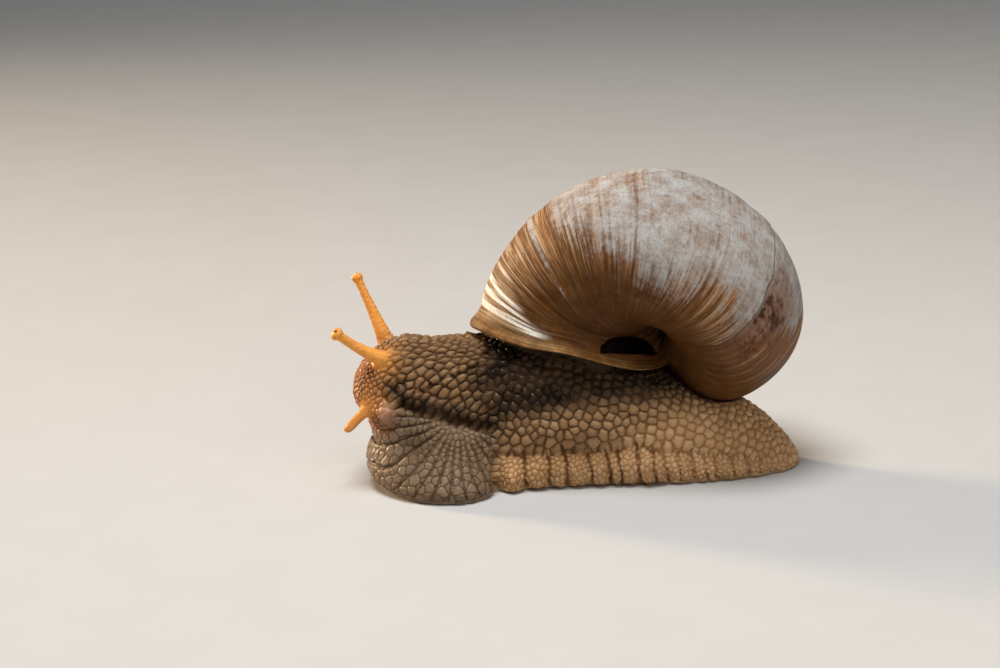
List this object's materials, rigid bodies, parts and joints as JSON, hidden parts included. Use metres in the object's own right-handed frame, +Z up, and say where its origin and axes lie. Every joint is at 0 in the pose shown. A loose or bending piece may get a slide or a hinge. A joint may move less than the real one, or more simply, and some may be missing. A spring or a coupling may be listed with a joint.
{
  "type": "garden snail",
  "caption": "Life-size still model of a crawling Roman garden snail, feelers out, carrying a rounded brown and cream coiled shell on a soft warty body with a flat sole.",
  "frame": {"origin": "centre of the bounding box of the whole animal, on the floor that the sole rests on", "axes": "+Z up, the head points to -X, the tail to +X, +Y is the animal's right side"},
  "size_m": [0.0586, 0.0306, 0.0383],
  "materials": {
    "shell": "weathered cream and brown snail shell, satin",
    "collar": "moist smooth flesh",
    "skin": "moist warty snail skin",
    "foot": "moist pale foot skin",
    "feeler": "moist translucent flesh",
    "eye": "glossy black"
  },
  "bodies": {
    "root": {"shell": "shell", "mantle_collar": "collar", "head": "skin", "neck": "skin", "trunk": "skin", "tail": "skin", "foot_front": "foot", "foot_middle": "foot", "lip_left": "skin", "lip_right": "skin", "tentacle_upper_left": "feeler", "tentacle_upper_right": "feeler", "tentacle_lower_left": "feeler", "tentacle_lower_right": "feeler", "eye_left": "eye", "eye_right": "eye"}
  },
  "joints": []
}
